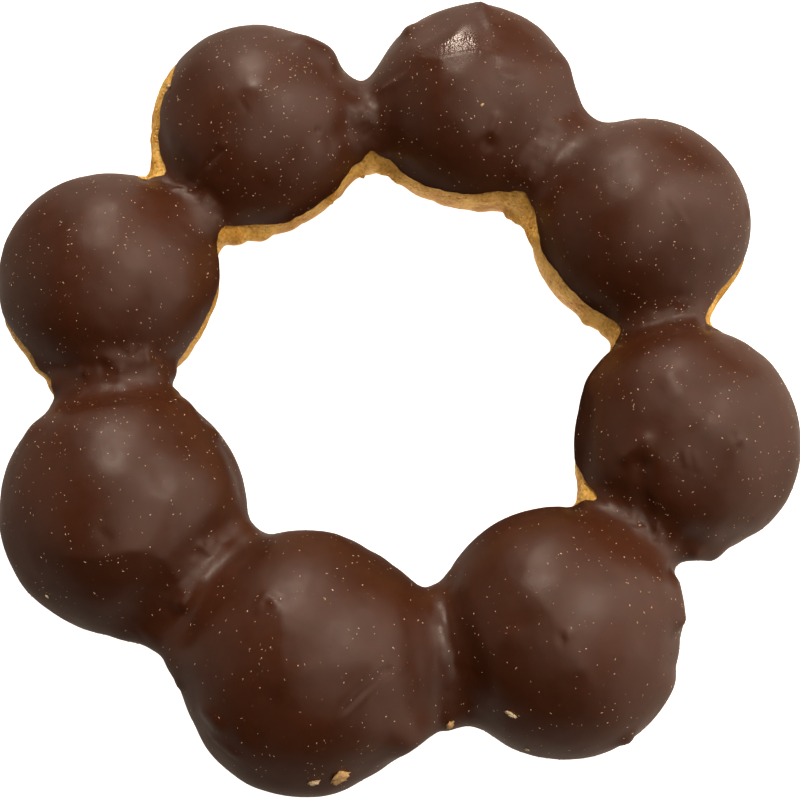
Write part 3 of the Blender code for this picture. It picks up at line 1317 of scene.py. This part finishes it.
@dataclass
class Dough:
    """The fried dough: a whole ring, sunk under the coating and bare below it."""

    skin: Skin
    relief: Relief
    outer_edge: np.ndarray
    inner_edge: np.ndarray
    rows: int = 88
    hidden_rows: int = 10
    tucked_in: float = 1.2
    step_in: float = 0.38
    step_fade: float = 2.4
    core_depth: float = 0.7
    smooth_below: float = 1.5
    waves: tuple[Wave, ...] = (Wave(3.0, 0.10, 11.0), Wave(1.1, 0.08, 12.0))

    def build(self) -> bpy.types.Object:
        """Builds the ring, and dresses it.

        Returns:
            The piece.
        """
        first = self.skin.shift(self.inner_edge, -self.tucked_in)
        last = self.skin.shift(self.outer_edge + self.skin.angles, self.tucked_in)
        angles = self.skin.spread(first, last, self.rows)
        places, normals = self.skin.take(angles)
        steps = np.arange(self.skin.travelled.shape[1])
        ways = np.array([np.interp(row, steps, way) for row, way in zip(angles, self.skin.travelled)])
        from_edge = np.minimum(ways - ways[:, :1], ways[:, -1:] - ways) - self.tucked_in
        sunk = self.step_in * (1.0 - smooth_step(from_edge / self.step_fade))
        sunk += (self.core_depth - self.step_in) * smooth_step(-from_edge / self.tucked_in)
        bare = smooth_step(places[..., 2] / self.smooth_below)
        lift = lumps(places, self.waves) * bare + self.relief.heights(places, DOUGH_MARKS)
        shown = places + (lift - sunk)[..., None] * normals
        under = self.skin.spread(last - self.skin.angles, first, self.hidden_rows + 2)[:, 1:-1]
        rings = np.concatenate((shown, self.skin.sunk(under, self.core_depth)), axis=1)
        rings[..., 2] = np.maximum(rings[..., 2], 0.0)
        return add_piece(ring_mesh("fried_dough", rings), DoughFinish().material())


@dataclass(frozen=True)
class Specks:
    """The pale specks: flat grains that Geometry Nodes scatter, each turned at random on the coating."""

    per_square_mm: float = 0.50
    length: float = 0.23
    width: float = 0.15
    height: float = 0.10
    smallest: tuple[float, float, float] = (0.45, 0.55, 0.6)
    largest: tuple[float, float, float] = (1.6, 1.15, 1.2)
    shade_power: float = 1.2
    seed: int = 3
    size_seed: int = 5
    shade_seed: int = 9
    finish: CrumbFinish = CrumbFinish("pale_specks", (0.17, 0.08, 0.04), (1.0, 0.74, 0.52))

    def _tree(self) -> bpy.types.GeometryNodeTree:
        """Builds the tree.

        Returns:
            The tree, which scatters grains over the geometry that it is given.
        """
        inputs = {"Geometry": "NodeSocketGeometry"}
        inputs |= {name: "NodeSocketFloat" for name in ("Density", "Length", "Width", "Height")}
        inputs |= {"Seed": "NodeSocketInt", "Material": "NodeSocketMaterial"}
        board, given, result = new_group(
            "GeometryNodeTree", "scattered_specks", inputs, ("Geometry", "NodeSocketGeometry")
        )
        share = board.add("GeometryNodeInputNamedAttribute", {"Name": "speck_share"}, data_type="FLOAT")
        density = board.math("MULTIPLY", given["Density"], share.outputs[0])
        inputs = {"Mesh": given["Geometry"], "Density": density, "Seed": given["Seed"]}
        points = board.add("GeometryNodeDistributePointsOnFaces", inputs).outputs

        sides = {0: given["Length"], 1: given["Width"], 2: given["Height"]}
        size = board.add("ShaderNodeCombineXYZ", sides).outputs[0]
        ball = board.add("GeometryNodeMeshIcoSphere", {"Radius": 0.5, "Subdivisions": 1}).outputs[0]
        grain = board.add("GeometryNodeTransform", {"Geometry": ball, "Scale": size}).outputs[0]

        spin = board.add("ShaderNodeCombineXYZ", {2: board.random(0.0, math.tau, given["Seed"])}).outputs[0]
        turn = board.add("FunctionNodeEulerToRotation", {0: spin}).outputs[0]
        inputs = {0: points["Rotation"], 1: turn}
        turned = board.add("FunctionNodeRotateRotation", inputs, rotation_space="LOCAL").outputs[0]
        scale = board.random(self.smallest, self.largest, self.size_seed, "FLOAT_VECTOR")
        inputs = {"Points": points["Points"], "Instance": grain, "Rotation": turned, "Scale": scale}
        placed = board.add("GeometryNodeInstanceOnPoints", inputs).outputs[0]

        shade = board.math("POWER", board.random(0.0, 1.0, self.shade_seed), self.shade_power)
        inputs = {"Geometry": placed, "Name": "shade", "Value": shade}
        named = board.add("GeometryNodeStoreNamedAttribute", inputs, data_type="FLOAT", domain="INSTANCE")
        real = board.add("GeometryNodeRealizeInstances", {0: named.outputs[0]}).outputs[0]
        inputs = {"Geometry": real, "Material": given["Material"]}
        board.feed(result, {0: board.add("GeometryNodeSetMaterial", inputs).outputs[0]})
        return board.tree

    def build(self, ground: bpy.types.Mesh) -> bpy.types.Object:
        """Scatters the grains and makes them a plain mesh.

        Args:
            ground: The skin that carries them.

        Returns:
            The piece.
        """
        material = self.finish.material()
        values = {"Density": self.per_square_mm / MM ** 2, "Seed": self.seed, "Material": material}
        values |= {"Length": self.length * MM, "Width": self.width * MM, "Height": self.height * MM}
        carrier = new_object("speck_carrier", ground.copy())
        modifier = carrier.modifiers.new("specks", "NODES")
        modifier.node_group = self._tree()
        for socket in modifier.node_group.interface.items_tree:
            if socket.name in values:
                modifier[socket.identifier] = values[socket.name]
        graph = bpy.context.evaluated_depsgraph_get()
        scattered = carrier.evaluated_get(graph)
        mesh = bpy.data.meshes.new_from_object(scattered, preserve_all_data_layers=True, depsgraph=graph)
        mesh.name = self.finish.name
        carrier.modifiers.remove(modifier)
        bpy.data.objects.remove(carrier)
        return add_piece(mesh, material)


@dataclass(frozen=True)
class Crumb:
    """A crumb or chip that sticks to the coating."""

    name: str
    pixel: Pixel
    size: tuple[float, float, float]
    turn: float
    shade: float


CRUMBS = (
    Crumb("golden crumb", (341, 776), (2.3, 1.4, 0.9), 25.0, 0.3),
    Crumb("small golden crumb", (314, 782), (1.3, 0.7, 0.6), 15.0, 0.8),
    Crumb("cream chip", (511, 714), (1.2, 0.6, 0.5), -20.0, 0.9),
    Crumb("tan chip at the bottom notch", (450, 725), (1.1, 0.8, 0.6), 60.0, 0.3),
    Crumb("chip at the edge of the upper left ball", (167, 85), (0.7, 0.45, 0.4), 0.0, 0.8),
    Crumb("flake on the top ball", (482, 105), (0.45, 0.28, 0.2), 40.0, 0.5),
    Crumb("white speck at the front", (528, 752), (0.55, 0.3, 0.3), -10.0, 1.0),
    Crumb("white speck at the left", (45, 599), (0.6, 0.25, 0.25), -35.0, 1.0),
)


@dataclass(frozen=True)
class Crumbs:
    """The crumbs and chips, as ragged lumps half sunk in the coating."""

    skin: Skin
    view: PhotoView
    raggedness: float = 0.5
    coarse: float = 3.1
    fine: float = 7.3
    seed_step: float = 5.0
    sunk: float = 0.1
    finish: CrumbFinish = CrumbFinish("golden_crumbs", (0.92, 0.52, 0.14), (1.0, 0.86, 0.58))

    def build(self) -> bpy.types.Object:
        """Builds all crumbs as one mesh, and dresses it.

        Returns:
            The piece.
        """
        shape = bmesh.new()
        shades = []
        for number, crumb in enumerate(CRUMBS):
            ball = bmesh.ops.create_icosphere(shape, subdivisions=3, radius=0.5)["verts"]
            place, normal = self.skin.under(self.view, crumb.pixel)
            right = unit(self.view.axes[0] - (self.view.axes[0] @ normal) * normal)
            axes = np.stack((right, np.cross(normal, right), normal))
            cosine, sine = math.cos(math.radians(crumb.turn)), math.sin(math.radians(crumb.turn))
            seed = number * self.seed_step
            for corner in ball:
                way = np.array(corner.co)
                coarse = noise.noise(Vector(way * self.coarse) + Vector((seed, 0.0, 0.0)))
                fine = noise.noise(Vector(way * self.fine) + Vector((0.0, seed, 0.0)))
                swell = 1.0 + self.raggedness * coarse + self.raggedness * fine
                local = way * swell * crumb.size
                x = local[0] * cosine - local[1] * sine
                y = local[0] * sine + local[1] * cosine
                corner.co = Vector((place + (x, y, local[2] + self.sunk) @ axes) * MM)
                shades.append(crumb.shade)
        mesh = bpy.data.meshes.new("crumbs")
        shape.to_mesh(mesh)
        shape.free()
        mesh.shade_smooth()
        paint(mesh, "shade", np.array(shades))
        return add_piece(mesh, self.finish.material())


@dataclass(frozen=True)
class SoftLight:
    """A square light that faces the doughnut, in degrees, metres and watts."""

    name: str
    azimuth: float
    elevation: float
    size: float
    power: float
    distance: float = 0.7
    colour: Colour = WARM

    def add(self) -> bpy.types.Object:
        """Adds the light, aimed at the ring's middle.

        Returns:
            The light.
        """
        data = bpy.data.lights.new(self.name, "AREA")
        data.shape = "SQUARE"
        data.size = self.size
        data.energy = self.power
        data.color = self.colour
        lamp = new_object(self.name, data)
        azimuth, elevation = math.radians(self.azimuth), math.radians(self.elevation)
        level = math.cos(elevation)
        way = Vector((math.cos(azimuth) * level, math.sin(azimuth) * level, math.sin(elevation)))
        lamp.location = way * self.distance
        lamp.rotation_euler = way.to_track_quat("Z", "Y").to_euler()
        return lamp


LIGHTS = (
    SoftLight("high window", 50.0, 55.0, 0.8, 1.6),
    SoftLight("low window", 12.0, 18.0, 0.7, 2.0),
    SoftLight("back pane", 105.0, 51.0, 0.16, 0.88),
    SoftLight("right pane", 36.0, 58.0, 0.16, 0.60),
    SoftLight("ceiling", 305.0, 72.0, 0.5, 0.80),
    SoftLight("left wall", 172.0, 14.0, 0.7, 0.50),
    SoftLight("front wall", 328.0, 14.0, 0.5, 0.6),
    SoftLight("far wall", 100.0, 12.0, 0.6, 0.80),
    SoftLight("far lamp", 99.0, 29.0, 0.08, 0.55),
)


@dataclass(frozen=True)
class Floor:
    """The pale floor, in metres, which glows so that it is as white as the photograph's background."""

    side: float = 3.0
    first: Colour = (0.80, 0.80, 0.80)
    second: Colour = (0.82, 0.82, 0.82)
    scales: Span = (4.0, 30.0)
    roughness: float = 0.9
    glow: float = 1.1

    def build(self) -> None:
        """Adds the floor."""
        board = MaterialBoard("pale_floor")
        board.feed(board.shader, {
            "Base Color": board.mottled(self.first, self.second, self.scales),
            "Roughness": self.roughness,
            "Emission Color": opaque(WHITE),
            "Emission Strength": self.glow,
        })
        half = self.side / 2
        corners = [(-half, -half, 0.0), (half, -half, 0.0), (half, half, 0.0), (-half, half, 0.0)]
        mesh = bpy.data.meshes.new("floor")
        mesh.from_pydata(corners, [], [(0, 1, 2, 3)])
        mesh.materials.append(board.material)
        floor = new_object("floor", mesh)
        floor.visible_diffuse = False
        floor.visible_glossy = False
        floor.visible_shadow = False


@dataclass(frozen=True)
class TableSheen:
    """What the coating's sides mirror of the table, as a glowing disc that only reflections see.

    Outside the ring the table is bright at the back right, and in the hole at the front left. Each pair of
    places is where a change begins and ends. Places and the reach are in metres.
    """

    reach: float = 400.0 * MM
    corners: int = 64
    slant: float = 0.8
    shaded: Colour = (0.32, 0.26, 0.21)
    lit: Colour = (0.66, 0.53, 0.42)
    lit_from: Span = (-85.0 * MM, 70.0 * MM)
    hole: Colour = (0.50, 0.43, 0.36)
    hole_until: Span = (-22.0 * MM, 4.0 * MM)
    ring: Span = (28.0 * MM, 36.0 * MM)

    def _material(self) -> bpy.types.Material:
        """Builds the disc's material.

        Returns:
            The material.
        """
        board = MaterialBoard("table_sheen")
        axes = board.add("ShaderNodeSeparateXYZ", {0: board.place}).outputs
        along = board.math("ADD", axes["X"], board.math("MULTIPLY", axes["Y"], self.slant))
        lit = board.spread(along, self.lit_from, 0.0, 1.0)
        outside = board.blend(lit, opaque(self.shaded), opaque(self.lit))
        lit = board.spread(along, self.hole_until, 1.0, 0.0)
        inside = board.blend(lit, opaque(BLACK), opaque(self.hole))
        reach = board.add("ShaderNodeVectorMath", {0: board.place}, operation="LENGTH").outputs["Value"]
        glow = board.blend(board.spread(reach, self.ring, 0.0, 1.0), inside, outside)
        board.feed(board.shader, {
            "Base Color": opaque(BLACK),
            "Emission Color": glow,
            "Emission Strength": 1.0,
        })
        return board.material

    def build(self) -> None:
        """Adds the disc."""
        shape = bmesh.new()
        bmesh.ops.create_circle(shape, segments=self.corners, radius=self.reach, cap_ends=True)
        mesh = bpy.data.meshes.new("table_sheen")
        shape.to_mesh(mesh)
        shape.free()
        mesh.materials.append(self._material())
        sheen = new_object("table_sheen", mesh)
        sheen.visible_camera = False
        sheen.visible_diffuse = False
        sheen.visible_shadow = False


@dataclass(frozen=True)
class Studio:
    """The floor and the light round the doughnut."""

    bounce: SoftLight = SoftLight("floor bounce", 228.0, -70.0, 1.2, 10.8)
    sky: Colour = WARM
    sky_strength: float = 0.025

    def _brighten(self, piece: bpy.types.Object) -> None:
        """Adds the light that comes back up from the floor, for one piece alone.

        Args:
            piece: The piece.
        """
        receivers = bpy.data.collections.new("lit_from_below")
        receivers.objects.link(piece)
        self.bounce.add().light_linking.receiver_collection = receivers

    def build(self, dough: bpy.types.Object) -> None:
        """Adds the floor, the lights and the sky, with plain colour handling.

        Args:
            dough: The piece that the floor's light reaches.
        """
        Floor().build()
        for light in LIGHTS:
            light.add()
        TableSheen().build()
        self._brighten(dough)
        scene = bpy.context.scene
        scene.world = bpy.data.worlds.new("pale_room")
        scene.world.use_nodes = True
        background = scene.world.node_tree.nodes["Background"]
        background.inputs["Color"].default_value = opaque(self.sky)
        background.inputs["Strength"].default_value = self.sky_strength
        scene.view_settings.view_transform = "Standard"


def main() -> None:
    """Builds the doughnut's looks, the studio and the camera."""
    logging.basicConfig(level=logging.INFO, format="%(name)s: %(message)s")
    view = PhotoView()
    view.add_camera()
    skin = Skin(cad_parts[NODE])
    LOG.info("skin sampled: middle %s", skin.middle.round(2))
    relief = Relief(skin, view)
    lift = relief.heights(skin.points, BODY_MARKS) + lumps(skin.points, BODY_WAVES)
    skin.points = skin.points + lift[..., None] * skin.normals
    skin.refresh()

    line = DipLine(skin, view)
    outer_edge = line.angles(OUTER_EDGES, Side.OUTER, OUTER_SEED)
    inner_edge = line.angles(INNER_EDGES, Side.INNER, INNER_SEED)
    dough = Dough(skin, relief, outer_edge, inner_edge).build()
    coating = Coating(skin, relief, outer_edge, inner_edge).build()
    Specks().build(coating.data)
    Crumbs(skin, view).build()
    Studio().build(dough)


if __name__ == "__main__":
    main()
